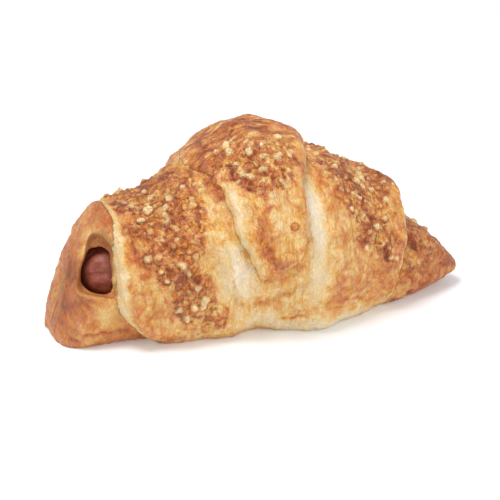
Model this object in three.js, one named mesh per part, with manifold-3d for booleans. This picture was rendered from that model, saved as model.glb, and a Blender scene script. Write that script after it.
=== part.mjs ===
// A sausage croissant: one long triangle of laminated dough rolled round a frankfurter, baked with grated cheese
// on it. Millimetres, +Z up. X runs along the roll, the open end at -X and the pinched tail at +X, and -Y is the
// front, where the tip of the dough triangle hangs down as a tongue over the turns beneath it.
//
// A place on the roll is its x and its winding angle: 0 degrees is the crown, 90 the front, 180 the underside and
// 270 the back, and each full turn lies one sheet of dough further out. The first turn shows only at the ends.
import * as THREE from 'three';
import { mergeVertices } from 'three/addons/utils/BufferGeometryUtils.js';
import Module from 'manifold-3d';

// ---- Driving dimensions -------------------------------------------------------------------------------------
const SHEET = 6.5; // thickness of one baked turn of dough
const RIM_STEPS = 3; // facets round a turn's free edge
const TIP_RIM = 4; // rounding of the tongue's end
const ROOT = 0.5; // share of the radius down to which a turn reaches inside the turn below
const LAP = 8; // degrees over which two stretches of the sheet run into each other
const LAP_SINK = 1.5;

const SAUSAGE_RADIUS = 9.6;
const SAUSAGE_FROM = -60.5; // the end that shows in the window
const SAUSAGE_TO = 50;
const SAUSAGE_Y = -3;
const SAUSAGE_HEIGHT = 22; // of its axis above the floor
const PUCKERS = 5; // lengthways folds of its skin at the ends
const PUCKER_DEPTH = 0.05; // as a share of the radius
const PUCKER_REACH = 1.6; // how far they run from the end, in radii
const CLEARANCE = 0.3; // between the sausage and the dough round it

// The section of the roll along its length: crest height, half width, height of the widest place and the
// sideways place of the axis. Below that height the section runs on SOLE under the floor, where it is cut off.
const CREST = lineThrough([
  [-60, 42], [-47, 45.2], [-38, 45.8], [-30, 49], [-23, 51.8], [-15, 56.2], [-6, 57.6], [1, 60.4], [10, 60],
  [22, 58.3], [32, 54.4], [38, 50.9], [45, 47.4], [56, 44.2], [62, 41.8],
]);
const HALF_WIDTH = lineThrough([[-60, 24], [-40, 28], [-5, 33], [20, 38], [45, 29], [60, 24.5]]);
const BELLY = lineThrough([[-60, 21], [0, 28], [60, 18]]);
const BEND = lineThrough([[-80, -3], [-40, -1], [0, 0], [50, -2], [84, -15]]);
const SOLE = 6;
const DOMED = 2.3; // powers of the section's superellipse above and below its widest place
const SQUAT = lineThrough([
  [-50, 2.6], [-35, 3], [-25, 3.3], [-12, 3.2], [-2, 2.8], [12, 3.5], [30, 3.6], [45, 2.55],
]);

// The free edges of the rolled triangle, left and right, by winding angle.
const LEFT_EDGE = lineThrough([
  [-150, -44], [-90, -50], [0, -50], [60, -50.3], [100, -51], [112, -51], [121, -48.5], [129, -45],
  [137, -41.5], [180, -40], [270, -19], [330, -18], [350, -23], [370, -23], [385, -18], [393, -14.8],
  [402, -13], [415, -13.3], [427, -13.2], [433, -11.8], [439, -9.3], [446, -7.4], [455, -5.5],
]);
const RIGHT_EDGE = lineThrough([
  [-150, 48], [-90, 58], [0, 59.5], [45, 57], [90, 54], [135, 47], [180, 41],
  [270, 35], [355, 27.5], [370, 23.5], [385, 21], [405, 14], [440, 9.5], [449, 5], [455, -0.5],
]);
const LEFT_RIM = lineThrough([[-150, 4], [95, 4], [125, 6], [180, 6], [300, 4], [400, 2.8]]); // their rounding
const RIGHT_RIM = lineThrough([[-150, 2.6], [150, 2.6], [200, 4], [360, 5], [405, 3]]);
const MELT_WIDTH = 14; // on the crown's left the edge has baked into the turn below, on a slope this wide
const MELT_DEPTH = 4.8;
const MELT_BEGINS = [290, 330];
const MELT_ENDS = [385, 412];
const ROLL_FROM = -150;
const ROLL_TO = 455; // the end of the tongue
const UNDERSIDE = 170; // where the first stretch of the sheet hands over to the second
const CROWN = 360; // where the second hands over to the tongue

// The first turn, a spindle with a slanting blunt end on the left and a tail on the right.
const SPINDLE_FROM = -68.5;
const SPINDLE_TO = 83;
const SPINDLE_CREST = lineThrough([
  [-76, 48], [-60, 47], [-45, 44], [0, 50], [50, 37], [60, 30], [72, 21.2], [85, 8],
]);
const SPINDLE_FOOT = lineThrough([
  [-76, -7], [-55, -5], [-45, -4], [0, -5], [50, -5], [62, -2.5], [76, 2], [85, 4.5],
]);
const SPINDLE_WIDTH = lineThrough([[-76, 17], [-55, 21], [0, 28], [50, 27], [62, 21], [72, 13], [85, 2.5]]);
const SPINDLE_SQUAT = lineThrough([[-76, 3], [-55, 2.6], [-45, 2.8], [-15, 3.6], [45, 3], [60, 2.6]]);
const SPINDLE_END = 13; // how far from either end the section reaches its full size
const SPINDLE_BLUNTNESS = 3.4;
const SLANT = 0.45; // how far the open end leans back for each millimetre of height
const SLANT_HEIGHT = 14.5; // the height about which it leans
const SLANT_FROM = -40; // it begins to lean here, and leans in full SLANT_RUN further out
const SLANT_RUN = 30;
const TAIL_DENT = new THREE.Vector3(58, -26, 25); // a hollow beside the edge of the next turn
const TAIL_DENT_DEPTH = 3;
const TAIL_DENT_WIDTH = 4.5;

// The drop-shaped window in the open end, and the hollow behind it round the end of the sausage.
const WINDOW = new THREE.Vector3(-58.8, -17, 27.5);
const WINDOW_OUT = new THREE.Vector3(-0.65, -0.63, 0.42).normalize();
const WINDOW_RADIUS = 7.9;
const WINDOW_WIDER = 3.5; // on its right, where the next turn's lip closes it
const WINDOW_POINT = 5.8; // how much further its upper corner reaches
const WINDOW_LEAN = 3.4; // how far that corner lies to the left
const WINDOW_SILL = 0.48; // power that squares its lower half
const WINDOW_DROP = 0.8; // how far down that half goes, in radii
const WINDOW_FLARE = 0.5;
const WINDOW_LIP = 4; // depth over which it flares, in and out of its middle
const WINDOW_REACH = [-10, 9]; // how far its cutter goes in and out
const HOLLOW = new THREE.Vector3(-52.5, -5, 23.5);
const HOLLOW_RADII = new THREE.Vector3(9.5, 12.5, 13);

// Folds beside the tongue, in x along a stretch of winding, and the crease that runs below them.
const FINGER = {
  line: lineThrough([[45, -19], [58, -17], [72, -15.5], [85, -13.7], [95, -12.3], [103, -10.5]]),
  from: 60,
  to: 105,
  height: 4.2,
  width: 5,
};
const FINGER_SIDE = {
  line: lineThrough([[66, -22], [80, -20], [93, -18], [101, -16], [108, -12]]),
  from: 80,
  to: 108,
  height: -1.4,
  width: 1.5,
};
const TONGUE_GROOVE = {
  line: lineThrough([[412, -10], [428, -6.7], [444, -2.8], [455, -1.6]]),
  from: 412,
  to: 455,
  height: -2,
  width: 1.4,
};
const FOLD_BEGINS = 12; // degrees over which a fold rises, either side of its beginning
const FOLD_ENDS = 3;
const CREASE = lineThrough([[-18, 90], [-15.5, 101], [-10.5, 109.5], [-3, 110], [6, 103], [12, 96]]);
const CREASE_MIDDLE = -3;
const CREASE_REACH = 13;
const CREASE_DEPTH = 1.6;
const CREASE_WIDTH = 2.4; // degrees of winding

const SWELL = 1.7; // the turn below swells up beside the tongue's root
const SWELL_WIDTH = 6;
const SWELL_BEGINS = [-60, -20];
const SWELL_ENDS = [28, 45];

// Broad uneven swelling of the baked dough: waves along and round the roll.
const LUMPS = [
  { height: 0.5, along: 0.21, round: 2, phase: 0 },
  { height: 0.4, along: 0.37, round: -3, phase: 1 },
];

// Where the cheese lies: the middle of each patch, its half length along the roll and its half width in degrees.
const CHEESE = [
  { x: -35, winding: 12, reach: 15, spread: 34, crumbs: 16 },
  { x: -37, winding: 82, reach: 9, spread: 36, crumbs: 11 },
  { x: 2, winding: 378, reach: 16, spread: 34, crumbs: 18 },
  { x: 38, winding: 24, reach: 17, spread: 30, crumbs: 14 },
  { x: 42, winding: 66, reach: 9, spread: 16, crumbs: 5 },
  { x: -34, winding: -52, reach: 12, spread: 36, crumbs: 9 },
  { x: 10, winding: 310, reach: 18, spread: 34, crumbs: 11 },
  { x: 46, winding: -48, reach: 9, spread: 34, crumbs: 6 },
];
const CRUMB_RADII = [1, 1.9];
const CRUMB_INSET = 4; // the least distance of a crumb from the sheet's free edges
const CRUMB_SEAT = 0.25; // how far a crumb's middle stands above the dough, in radii
const CRUST = 0.8; // how proud a cheese patch stands of the dough

// ---- Small helpers ------------------------------------------------------------------------------------------
// A smooth line through a few places: cubic pieces whose slopes are the averages of the chords beside them.
function lineThrough(places) {
  const slope = (a, b) => (b[1] - a[1]) / (b[0] - a[0]);
  const slopes = places.map((p, i) => slope(places[Math.max(0, i - 1)], places[Math.min(i + 1, places.length - 1)]));
  return (at) => {
    if (at <= places[0][0]) return places[0][1];
    if (at >= places.at(-1)[0]) return places.at(-1)[1];
    const i = places.findIndex((p) => p[0] > at) - 1;
    const span = places[i + 1][0] - places[i][0];
    const t = (at - places[i][0]) / span;
    return (
      (1 + 2 * t) * (1 - t) ** 2 * places[i][1] +
      t * (1 - t) ** 2 * span * slopes[i] +
      t * t * (3 - 2 * t) * places[i + 1][1] +
      t * t * (t - 1) * span * slopes[i + 1]
    );
  };
}

// A bell curve, 1 at the middle.
const bell = (offset, width) => Math.exp(-((offset / width) ** 2));

// Repeatable draws between 0 and 1 (mulberry32).
function drawsFrom(seed) {
  let state = seed;
  return () => {
    state = (state + 0x6d2b79f5) | 0;
    let t = Math.imul(state ^ (state >>> 15), 1 | state);
    t = (t + Math.imul(t ^ (t >>> 7), 61 | t)) ^ t;
    return ((t ^ (t >>> 14)) >>> 0) / 2 ** 32;
  };
}

const wasm = await Module();
wasm.setup();

function solidFrom(geometry) {
  const bare = geometry.clone();
  bare.deleteAttribute('normal');
  bare.deleteAttribute('uv');
  const merged = mergeVertices(bare, 1e-3);
  return new wasm.Manifold(
    new wasm.Mesh({
      numProp: 3,
      vertProperties: merged.attributes.position.array,
      triVerts: new Uint32Array(merged.index.array),
    }),
  );
}

function geometryFrom(solid) {
  const mesh = solid.getMesh();
  const geometry = new THREE.BufferGeometry();
  geometry.setAttribute('position', new THREE.BufferAttribute(new Float32Array(mesh.vertProperties), 3));
  geometry.setIndex(new THREE.BufferAttribute(new Uint32Array(mesh.triVerts), 1));
  geometry.computeVertexNormals();
  return geometry;
}

// Moves every vertex of a closed geometry by a rule.
function bend(geometry, rule) {
  const place = geometry.attributes.position;
  const point = new THREE.Vector3();
  for (let i = 0; i < place.count; i++) {
    point.fromBufferAttribute(place, i);
    rule(point);
    place.setXYZ(i, point.x, point.y, point.z);
  }
  return geometry;
}

// ---- The rolled triangle ------------------------------------------------------------------------------------
// The roll's radius from its axis in a direction, each turn one sheet further out than the one below.
function rollRadius(x, winding) {
  const angle = THREE.MathUtils.degToRad(winding);
  const growth = (SHEET * winding) / 360;
  const up = Math.cos(angle);
  const wide = HALF_WIDTH(x) + growth;
  const tall = up > 0 ? CREST(x) - BELLY(x) + growth : BELLY(x) + SOLE;
  const power = up > 0 ? DOMED : SQUAT(x);
  return (Math.abs(up / tall) ** power + Math.abs(Math.sin(angle) / wide) ** power) ** (-1 / power);
}

function fold(x, winding, { line, from, to, height, width }) {
  const begun = THREE.MathUtils.smoothstep(winding, from - FOLD_BEGINS, from + FOLD_BEGINS);
  const ended = THREE.MathUtils.smoothstep(winding, to - FOLD_ENDS, to + FOLD_ENDS);
  return height * bell(x - line(winding), width) * begun * (1 - ended);
}

// How far the baked surface stands in or out of the plain roll.
function relief(x, winding) {
  const { degToRad, smoothstep } = THREE.MathUtils;
  const angle = degToRad(winding);
  let out = fold(x, winding, FINGER) + fold(x, winding, FINGER_SIDE) + fold(x, winding, TONGUE_GROOVE);
  const swollen = smoothstep(winding, ...SWELL_BEGINS) * (1 - smoothstep(winding, ...SWELL_ENDS));
  out += SWELL * swollen * bell(x - LEFT_EDGE(winding + 360), SWELL_WIDTH);
  out -= CREASE_DEPTH * bell(winding - CREASE(x), CREASE_WIDTH) * bell(x - CREASE_MIDDLE, CREASE_REACH);
  for (const wave of LUMPS) out += wave.height * Math.sin(wave.along * x + wave.round * angle + wave.phase);
  for (const patch of CHEESE) {
    out += CRUST * bell(x - patch.x, patch.reach) * bell(winding - patch.winding, patch.spread);
  }
  return out;
}

function onRoll(x, winding, radius) {
  const angle = THREE.MathUtils.degToRad(winding);
  return new THREE.Vector3(x, BEND(x) - Math.sin(angle) * radius, BELLY(x) + Math.cos(angle) * radius);
}

// The rounding of the sheet's free edges at a winding, on a narrow tongue no wider than half of it.
function rimsAt(winding) {
  const widest = (RIGHT_EDGE(winding) - LEFT_EDGE(winding)) / 2.2;
  return { leftRim: Math.min(LEFT_RIM(winding), widest), rightRim: Math.min(RIGHT_RIM(winding), widest) };
}

// Where one step across the sheet lies. The outermost steps follow the rounding of the edges.
function acrossSheet(step, steps, winding) {
  const span = RIGHT_EDGE(winding) - LEFT_EDGE(winding);
  const { leftRim, rightRim } = rimsAt(winding);
  const onLeft = step * 2 <= steps;
  const rim = onLeft ? leftRim : rightRim;
  const fromEdge = Math.min(step, steps - step);
  const turned = Math.min(1, fromEdge / RIM_STEPS) * (Math.PI / 2);
  const inside = Math.max(0, fromEdge - RIM_STEPS) / (steps / 2 - RIM_STEPS);
  const inset = rim * (1 - Math.cos(turned)) + inside * (span / 2 - rim);
  return onLeft ? LEFT_EDGE(winding) + inset : RIGHT_EDGE(winding) - inset;
}

// How far a quarter-round rim has fallen at a place INSET from its edge.
const rounded = (inset, rim) => rim - Math.sqrt(Math.max(0, rim ** 2 - Math.max(0, rim - inset) ** 2));

// How far the sheet's surface has fallen towards its free edges.
function edgeFall(x, winding) {
  const { smoothstep, lerp } = THREE.MathUtils;
  const { leftRim, rightRim } = rimsAt(winding);
  const fromLeft = x - LEFT_EDGE(winding);
  const slope = MELT_DEPTH * (1 - smoothstep(fromLeft, 0, MELT_WIDTH));
  const melted = smoothstep(winding, ...MELT_BEGINS) * (1 - smoothstep(winding, ...MELT_ENDS));
  return Math.max(lerp(rounded(fromLeft, leftRim), slope, melted), rounded(RIGHT_EDGE(winding) - x, rightRim));
}

// 1 at the hidden ends of a stretch of the sheet and 0 between them.
function buried(winding, from, to) {
  return THREE.MathUtils.clamp(Math.max(from + LAP - winding, winding - to + LAP) / LAP, 0, 1);
}

// A stretch of the rolled sheet: a box bent round the axis. Its beginning lies sunk in the turn below, and its
// far end is sunk too or, on the tongue, rounded down.
function turn(from, to, stepsAcross, stepsAround) {
  const box = new THREE.BoxGeometry(1, 1, 1, stepsAcross, 1, stepsAround);
  const lastIsTip = to === ROLL_TO;
  return bend(box, (p) => {
    const share = p.z + 0.5;
    const winding = from + share * (to - from);
    const x = acrossSheet(Math.round((p.x + 0.5) * stepsAcross), stepsAcross, winding);
    const fromTip = lastIsTip ? Math.min(1, (stepsAround * (1 - share)) / RIM_STEPS) : 1;
    const tipFall = TIP_RIM * (1 - Math.sin((fromTip * Math.PI) / 2));
    const sink = LAP_SINK * buried(winding, from, lastIsTip ? Infinity : to);
    const outer = rollRadius(x, winding) + relief(x, winding) - edgeFall(x, winding) - tipFall - sink;
    p.copy(onRoll(x, winding, p.y > 0 ? outer : outer * ROOT));
  });
}

// ---- The first turn, round the sausage ----------------------------------------------------------------------
function spindle() {
  const ball = new THREE.SphereGeometry(1, 32, 30);
  return bend(ball, (p) => {
    // The sphere's poles become the two ends.
    const along = Math.acos(THREE.MathUtils.clamp(-p.y, -1, 1));
    const x = (SPINDLE_FROM + SPINDLE_TO) / 2 - (Math.cos(along) * (SPINDLE_TO - SPINDLE_FROM)) / 2;
    const ring = Math.hypot(p.x, p.z);
    const inward = THREE.MathUtils.clamp(Math.min(x - SPINDLE_FROM, SPINDLE_TO - x) / SPINDLE_END, 0, 1);
    const fullness = (1 - (1 - inward) ** SPINDLE_BLUNTNESS) ** (1 / SPINDLE_BLUNTNESS);
    const side = ring > 1e-6 ? -p.x / ring : 0;
    const up = ring > 1e-6 ? p.z / ring : 0;
    const middle = (SPINDLE_CREST(x) + SPINDLE_FOOT(x)) / 2;
    const half = (SPINDLE_CREST(x) - SPINDLE_FOOT(x)) / 2;
    const power = 2 / (up > 0 ? DOMED : SPINDLE_SQUAT(x));
    const z = middle + fullness * half * Math.sign(up) * Math.abs(up) ** power;
    const lean = SLANT * (z - SLANT_HEIGHT) * THREE.MathUtils.clamp((SLANT_FROM - x) / SLANT_RUN, 0, 1);
    p.set(x + lean, BEND(x) + fullness * SPINDLE_WIDTH(x) * Math.sign(side) * Math.abs(side) ** power, z);
    p.y += TAIL_DENT_DEPTH * bell(p.distanceTo(TAIL_DENT), TAIL_DENT_WIDTH);
  });
}

// The cutter of the window: a drop-shaped tunnel that flares as it comes out.
function windowCutter() {
  const up = new THREE.Vector3(0, 0, 1).projectOnPlane(WINDOW_OUT).normalize();
  const right = up.clone().cross(WINDOW_OUT);
  const tunnel = new THREE.CylinderGeometry(1, 1, 1, 24, 6);
  return bend(tunnel, (p) => {
    const depth = THREE.MathUtils.lerp(WINDOW_REACH[0], WINDOW_REACH[1], p.y + 0.5);
    const flare = 1 + WINDOW_FLARE * THREE.MathUtils.smoothstep(depth, -WINDOW_LIP, WINDOW_LIP);
    const ring = Math.hypot(p.x, p.z);
    const upward = Math.max(0, -p.z / Math.max(1e-6, ring));
    const radius = (WINDOW_RADIUS + WINDOW_POINT * upward ** 8) * flare;
    const squared = (part) => Math.sign(part) * Math.abs(part) ** (p.z > 0 ? WINDOW_SILL : 1);
    const across = squared(p.x) * (radius + (p.x > 0 ? WINDOW_WIDER : 0)) - WINDOW_LEAN * upward ** 4;
    const height = squared(-p.z) * radius * (p.z > 0 ? WINDOW_DROP : 1);
    p.copy(WINDOW).addScaledVector(WINDOW_OUT, depth).addScaledVector(right, across).addScaledVector(up, height);
  });
}

function hollow() {
  const ball = new THREE.SphereGeometry(1, 20, 14);
  ball.scale(HOLLOW_RADII.x, HOLLOW_RADII.y, HOLLOW_RADII.z);
  return ball.translate(HOLLOW.x, HOLLOW.y, HOLLOW.z);
}

// ---- The sausage --------------------------------------------------------------------------------------------
// A round-ended frankfurter whose skin puckers lengthways towards its ends.
function sausage(extra) {
  const radius = SAUSAGE_RADIUS + extra;
  const middle = (SAUSAGE_FROM + SAUSAGE_TO) / 2;
  const half = (SAUSAGE_TO - SAUSAGE_FROM) / 2 + extra;
  const capsule = new THREE.CapsuleGeometry(radius, 2 * (half - radius), 6, 20, 5);
  capsule.rotateZ(Math.PI / 2);
  return bend(capsule, (p) => {
    const ending = THREE.MathUtils.smoothstep(Math.abs(p.x), half - PUCKER_REACH * radius, half);
    const pucker = 1 + PUCKER_DEPTH * ending * Math.cos(PUCKERS * Math.atan2(p.z, p.y));
    p.set(p.x + middle, p.y * pucker + SAUSAGE_Y, p.z * pucker + SAUSAGE_HEIGHT);
  });
}

// ---- Cheese crumbs ------------------------------------------------------------------------------------------
// The turn that is outermost at a place, given by the least winding angle there.
function outermost(x, winding) {
  const above = winding + 360;
  const covered = above < ROLL_TO && x > LEFT_EDGE(above) + 2 && x < RIGHT_EDGE(above) - 2;
  return covered ? above : winding;
}

function crumb(x, winding, radius, draw) {
  const jagged = new THREE.IcosahedronGeometry(radius, 0);
  jagged.deleteAttribute('normal');
  jagged.deleteAttribute('uv');
  const lump = mergeVertices(jagged, 1e-3);
  lump.scale(0.8 + 0.5 * draw(), 0.8 + 0.5 * draw(), 0.7 + 0.3 * draw());
  lump.rotateX(draw() * Math.PI);
  lump.rotateZ(draw() * Math.PI);
  const baked = rollRadius(x, winding) + relief(x, winding) - edgeFall(x, winding);
  const seat = onRoll(x, winding, baked + CRUMB_SEAT * radius);
  return lump.translate(seat.x, seat.y, seat.z);
}

function crumbs() {
  const draw = drawsFrom(11);
  const solids = [];
  for (const patch of CHEESE) {
    for (let i = 0; i < patch.crumbs; i++) {
      const reach = Math.sqrt(draw());
      const around = draw() * 2 * Math.PI;
      const x = patch.x + patch.reach * reach * Math.cos(around);
      const winding = outermost(x, patch.winding + patch.spread * reach * Math.sin(around));
      const radius = THREE.MathUtils.lerp(CRUMB_RADII[0], CRUMB_RADII[1], draw());
      if (x < LEFT_EDGE(winding) + CRUMB_INSET || x > RIGHT_EDGE(winding) - CRUMB_INSET) continue;
      solids.push(solidFrom(crumb(x, winding, radius, draw)));
    }
  }
  return solids;
}

// ---- Putting it together ------------------------------------------------------------------------------------
let dough = solidFrom(spindle());
dough = dough.subtract(solidFrom(hollow()));
dough = dough.subtract(solidFrom(windowCutter()));
dough = dough.add(solidFrom(turn(ROLL_FROM, UNDERSIDE + LAP, 36, 46)));
dough = dough.add(solidFrom(turn(UNDERSIDE, CROWN + LAP, 20, 28)));
dough = dough.add(solidFrom(turn(CROWN, ROLL_TO, 20, 24)));
for (const solid of crumbs()) dough = dough.add(solid);
dough = dough.subtract(solidFrom(sausage(CLEARANCE)));
const underFloor = new THREE.BoxGeometry(400, 400, 100).translate(0, 0, -50);
dough = dough.subtract(solidFrom(underFloor));

const croissant = new THREE.Group();

const doughMesh = new THREE.Mesh(
  geometryFrom(dough),
  new THREE.MeshStandardMaterial({ color: 0xd9a25c, roughness: 0.55, metalness: 0 }),
);
doughMesh.name = 'dough';
croissant.add(doughMesh);

const sausageMesh = new THREE.Mesh(
  geometryFrom(solidFrom(sausage(0))),
  new THREE.MeshStandardMaterial({ color: 0x9c5648, roughness: 0.45, metalness: 0 }),
);
sausageMesh.name = 'sausage';
croissant.add(sausageMesh);

// The origin is under the middle of the whole, on the floor.
const middle = new THREE.Box3().setFromObject(croissant).getCenter(new THREE.Vector3());
croissant.position.set(-middle.x, -middle.y, 0);

export default croissant;
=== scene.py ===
# A sausage croissant: one long triangle of laminated dough rolled round a frankfurter, washed with egg and baked
# with grated cheese on it. X runs along the roll, the open end at -X and the pinched tail at +X, and -Y is the
# front, where the tip of the dough triangle hangs down as a tongue. The shapes are worked out in millimetres.
import math

import bmesh
import bpy
import numpy as np
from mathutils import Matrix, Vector, noise
from mathutils.kdtree import KDTree


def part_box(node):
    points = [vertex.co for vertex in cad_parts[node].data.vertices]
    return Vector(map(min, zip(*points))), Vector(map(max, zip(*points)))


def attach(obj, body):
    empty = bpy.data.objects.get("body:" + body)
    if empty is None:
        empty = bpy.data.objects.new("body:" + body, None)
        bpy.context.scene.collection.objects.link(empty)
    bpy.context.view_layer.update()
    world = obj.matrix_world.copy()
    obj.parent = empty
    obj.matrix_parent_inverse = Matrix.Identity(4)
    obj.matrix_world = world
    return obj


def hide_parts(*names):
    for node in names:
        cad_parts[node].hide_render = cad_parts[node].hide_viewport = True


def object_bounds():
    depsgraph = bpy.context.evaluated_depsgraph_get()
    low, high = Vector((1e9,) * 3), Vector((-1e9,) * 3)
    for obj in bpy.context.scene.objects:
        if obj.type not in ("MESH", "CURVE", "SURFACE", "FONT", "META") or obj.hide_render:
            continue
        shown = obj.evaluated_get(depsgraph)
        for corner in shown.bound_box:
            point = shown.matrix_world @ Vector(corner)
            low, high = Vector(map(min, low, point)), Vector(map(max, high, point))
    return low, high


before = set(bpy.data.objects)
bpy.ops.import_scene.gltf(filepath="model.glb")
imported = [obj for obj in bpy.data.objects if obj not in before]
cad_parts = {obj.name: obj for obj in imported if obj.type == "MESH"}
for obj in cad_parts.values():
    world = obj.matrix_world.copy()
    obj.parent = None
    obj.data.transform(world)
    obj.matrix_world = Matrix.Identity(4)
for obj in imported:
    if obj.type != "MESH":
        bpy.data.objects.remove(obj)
cad_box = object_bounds()

# ---- The sausage ----------------------------------------------------------------------------------------------
# A smoked frankfurter in its casing, which shrinks in the oven and puckers lengthways towards its two ends. It
# lies along the middle of the roll, and its left end shows in the window.
MM = 0.001
SAUSAGE_RADIUS = 9.6
SAUSAGE_FROM = -60.5
SAUSAGE_TO = 50
SAUSAGE_Y = -3
SAUSAGE_HEIGHT = 22  # of its axis above the floor
CLEARANCE = 0.3  # between the sausage and the dough round it
PUCKERS = 5
PUCKER_DEPTH = 0.09  # as a share of the radius
PUCKER_REACH = 1.8  # how far the puckers run from an end, in radii
WRINKLES = 17  # fine ones between the puckers
WRINKLE_DEPTH = 0.14
ENDS_BLUNTED = 0.5  # power that gathers the rings towards the round ends
NEAR_POLE = 0.02  # how near to a round end's pole its first ring lies, in radians
BROWNED_CASING = "#9d5341"
PINK_CASING = "#c97f6c"
DARK_CASING = "#6e2e22"

# The roll's own x of 0 lies off the middle of the whole, as the sausage's box in the frame tells.
sausage_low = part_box("sausage")[0] / MM
ROLL_PLACE = np.array([sausage_low.x - SAUSAGE_FROM, sausage_low.y - SAUSAGE_Y + SAUSAGE_RADIUS, 0])


def smoothstep(value, low, high):
    t = np.clip((value - low) / (high - low), 0, 1)
    return t * t * (3 - 2 * t)


def bell(offset, width):
    return np.exp(-((offset / width) ** 2))


def put(name, data):
    """A new object in the scene, at the origin."""
    made = bpy.data.objects.new(name, data)
    bpy.context.collection.objects.link(made)
    return made


def solid(name, rings):
    """A closed object through rings of points in the roll's millimetres, each end closed on its middle."""
    count, around = rings.shape[:2]
    points = np.concatenate([rings.reshape(-1, 3), rings[[0, -1]].mean(axis=1)])
    ring, spot = np.mgrid[: count - 1, :around]
    corner = ring * around + spot
    beside = ring * around + (spot + 1) % around
    quads = np.stack([corner, beside, beside + around, corner + around], axis=-1).reshape(-1, 4)
    spot = np.arange(around)
    first_middle = count * around
    last_ring = (count - 1) * around
    start = np.stack([np.full(around, first_middle), (spot + 1) % around, spot], axis=-1)
    end = np.stack([np.full(around, first_middle + 1), last_ring + spot, last_ring + (spot + 1) % around], axis=-1)
    faces = quads.tolist() + start.tolist() + end.tolist()
    triangles = np.concatenate([quads[:, [0, 1, 2]], quads[:, [0, 2, 3]], start, end])
    a, b, c = points[triangles].transpose(1, 0, 2)
    if np.einsum("ij,ij->i", a, np.cross(b, c)).sum() < 0:
        faces = [face[::-1] for face in faces]
    mesh = bpy.data.meshes.new(name)
    mesh.from_pydata((points + ROLL_PLACE) * MM, [], faces)
    mesh.shade_smooth()
    return put(name, mesh)


def poles_apart(steps):
    """Angles from one pole of something round to the other, as a column."""
    return np.linspace(NEAR_POLE, math.pi - NEAR_POLE, steps)[:, None]


def full_turn(steps):
    """Angles once round, as a row."""
    return np.linspace(0, 2 * math.pi, steps, endpoint=False)[None, :]


def sausage_rings(extra, steps, around, wrinkle=0):
    """Rings along a round-ended sausage, EXTRA wider all round, whose skin puckers towards its ends."""
    radius = SAUSAGE_RADIUS + extra
    middle = (SAUSAGE_FROM + SAUSAGE_TO) / 2
    half = (SAUSAGE_TO - SAUSAGE_FROM) / 2 + extra
    reach = np.cos(poles_apart(steps))
    x = -half * np.sign(reach) * np.abs(reach) ** ENDS_BLUNTED
    cap = np.clip((np.abs(x) - half + radius) / radius, 0, 1)
    girth = radius * np.sqrt(1 - cap**2)
    turned = full_turn(around)
    ending = smoothstep(np.abs(x), half - PUCKER_REACH * radius, half)
    folded = np.abs(np.sin(PUCKERS / 2 * turned + 0.8 * np.sign(x)))
    girth = girth * (1 - PUCKER_DEPTH * ending * (1 - folded) * 2)
    girth = girth - wrinkle * ending * np.sin(WRINKLES * turned + 2 * np.sin(x / 3)) ** 2
    return np.stack([x + middle + 0 * turned, SAUSAGE_Y + girth * np.cos(turned),
                     SAUSAGE_HEIGHT + girth * np.sin(turned)], axis=-1)


def node(tree, kind, inputs=(), **settings):
    """A new node. Each input, by its name or number, is a value or the output socket that feeds it."""
    made = tree.nodes.new(kind)
    for name, setting in settings.items():
        setattr(made, name, setting)
    for key, value in dict(inputs).items():
        if isinstance(value, bpy.types.NodeSocket):
            tree.links.new(value, made.inputs[key])
        else:
            made.inputs[key].default_value = value
    return made


def calc(tree, operation, *terms):
    return node(tree, "ShaderNodeMath", enumerate(terms), operation=operation).outputs[0]


def scaled(tree, value, by, plus=0):
    """VALUE times BY plus PLUS. Each is a number or an output socket."""
    return calc(tree, "MULTIPLY_ADD", value, by, plus)


def total(tree, first, *others):
    for other in others:
        first = calc(tree, "ADD", first, other)
    return first


def eased(tree, value, low, high):
    """0 below LOW and 1 above HIGH, smooth between them; LOW may be the greater."""
    inputs = {"Value": value, "From Min": low, "From Max": high}
    return node(tree, "ShaderNodeMapRange", inputs, interpolation_type="SMOOTHSTEP").outputs["Result"]


def stretched(tree, place, along, across, deep=1):
    """PLACE with its three directions divided by the sizes that a pattern has along them."""
    scale = (1 / along, 1 / across, 1 / deep)
    return node(tree, "ShaderNodeVectorMath", {0: place, 1: scale}, operation="MULTIPLY").outputs[0]


def mottle(tree, place, size, detail=2, rough=0.5, seed=0):
    """Cloudy noise from 0 to 1 with patches of about SIZE."""
    inputs = {"Vector": place, "W": seed, "Scale": 1 / size, "Detail": detail, "Roughness": rough}
    return node(tree, "ShaderNodeTexNoise", inputs, noise_dimensions="4D").outputs[0]


def centred(tree, value):
    return calc(tree, "SUBTRACT", value, 0.5)


def swing(tree, place, size, amount, plus=0, **kind):
    """PLUS, and cloudy noise that swings by half of AMOUNT to either side of it."""
    return scaled(tree, centred(tree, mottle(tree, place, size, **kind)), amount, plus)


def warped(tree, place, amount, size):
    """PLACE pushed about by up to AMOUNT, in swirls of SIZE."""
    swirl = node(tree, "ShaderNodeTexNoise", {"Vector": place, "Scale": 1 / size, "Detail": 1.0}).outputs[1]
    push = node(tree, "ShaderNodeVectorMath", {0: swirl, 1: (0.5, 0.5, 0.5)}, operation="SUBTRACT").outputs[0]
    inputs = {0: push, 1: (amount * 2, amount * 2, amount * 2), 2: place}
    return node(tree, "ShaderNodeVectorMath", inputs, operation="MULTIPLY_ADD").outputs[0]


def mixed(tree, share, first, second):
    return node(tree, "ShaderNodeMix", {0: share, 6: first, 7: second}, data_type="RGBA").outputs[2]


def colour(code):
    """A colour as written for screens, such as #f2dcb3, as the linear one that shaders take."""
    levels = [int(code[i : i + 2], 16) / 255 for i in (1, 3, 5)]
    return (*[v / 12.92 if v < 0.04045 else ((v + 0.055) / 1.055) ** 2.4 for v in levels], 1)


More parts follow.
